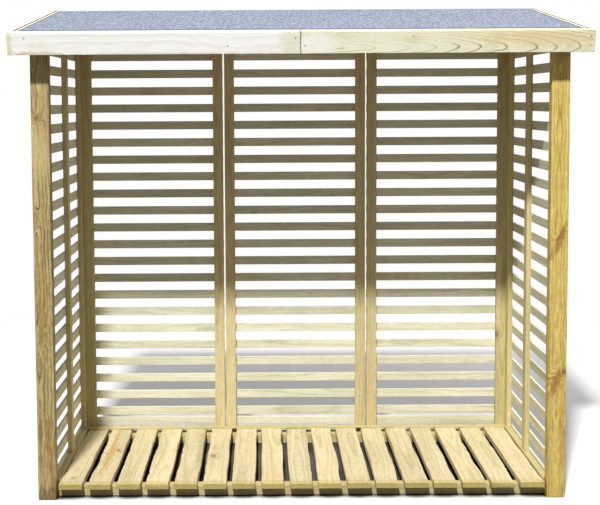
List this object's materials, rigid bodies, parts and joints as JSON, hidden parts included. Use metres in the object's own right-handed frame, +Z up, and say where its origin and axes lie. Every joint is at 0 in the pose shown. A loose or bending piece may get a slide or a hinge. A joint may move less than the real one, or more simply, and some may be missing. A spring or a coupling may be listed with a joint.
{
  "type": "log store",
  "caption": "Open fronted timber log store with slatted back and side walls, a gapped board floor and a felted pent roof that rises to the back.",
  "frame": {"origin": "on the ground, under the middle of the store's overall box", "axes": "+X to the right seen from the open front, +Y from the open front to the back wall, +Z up"},
  "size_m": [2.2, 0.9404, 1.979],
  "materials": {
    "post_timber": "planed, pressure treated",
    "fascia_timber": "planed, pressure treated",
    "floor_timber": "sawn, pressure treated",
    "slat_timber": "sawn, pressure treated",
    "frame_timber": "sawn, pressure treated",
    "deck_board": "exterior board",
    "roof_felt": "mineral roofing felt"
  },
  "bodies": {
    "root": {"front_post_left": "post_timber", "front_post_right": "post_timber", "front_header": "frame_timber", "rear_bearer": "frame_timber", "back_left_stile_left": "frame_timber", "back_left_stile_right": "frame_timber", "back_left_slats": "slat_timber", "back_centre_stile_left": "frame_timber", "back_centre_stile_right": "frame_timber", "back_centre_slats": "slat_timber", "back_right_stile_left": "frame_timber", "back_right_stile_right": "frame_timber", "back_right_slats": "slat_timber", "left_side_sill": "frame_timber", "left_side_stile_middle": "frame_timber", "left_side_stile_rear": "frame_timber", "left_side_slats": "slat_timber", "right_side_sill": "frame_timber", "right_side_stile_middle": "frame_timber", "right_side_stile_rear": "frame_timber", "right_side_slats": "slat_timber", "floor_joist_front": "frame_timber", "floor_joist_rear": "frame_timber", "floor_board_01": "floor_timber", "floor_board_02": "floor_timber", "floor_board_03": "floor_timber", "floor_board_04": "floor_timber", "floor_board_05": "floor_timber", "floor_board_06": "floor_timber", "floor_board_07": "floor_timber", "floor_board_08": "floor_timber", "floor_board_09": "floor_timber", "floor_board_10": "floor_timber", "floor_board_11": "floor_timber", "floor_board_12": "floor_timber", "floor_board_13": "floor_timber", "floor_board_14": "floor_timber", "floor_board_15": "floor_timber", "floor_board_16": "floor_timber", "floor_board_17": "floor_timber", "back_cover_strip": "frame_timber", "fascia_left": "fascia_timber", "bargeboard_left": "fascia_timber", "fascia_right": "fascia_timber", "bargeboard_right": "fascia_timber", "rear_fascia": "fascia_timber", "rafter_1": "frame_timber", "rafter_2": "frame_timber", "rafter_3": "frame_timber", "rafter_4": "frame_timber", "roof_deck": "deck_board", "roof_felt": "roof_felt"}
  },
  "joints": []
}
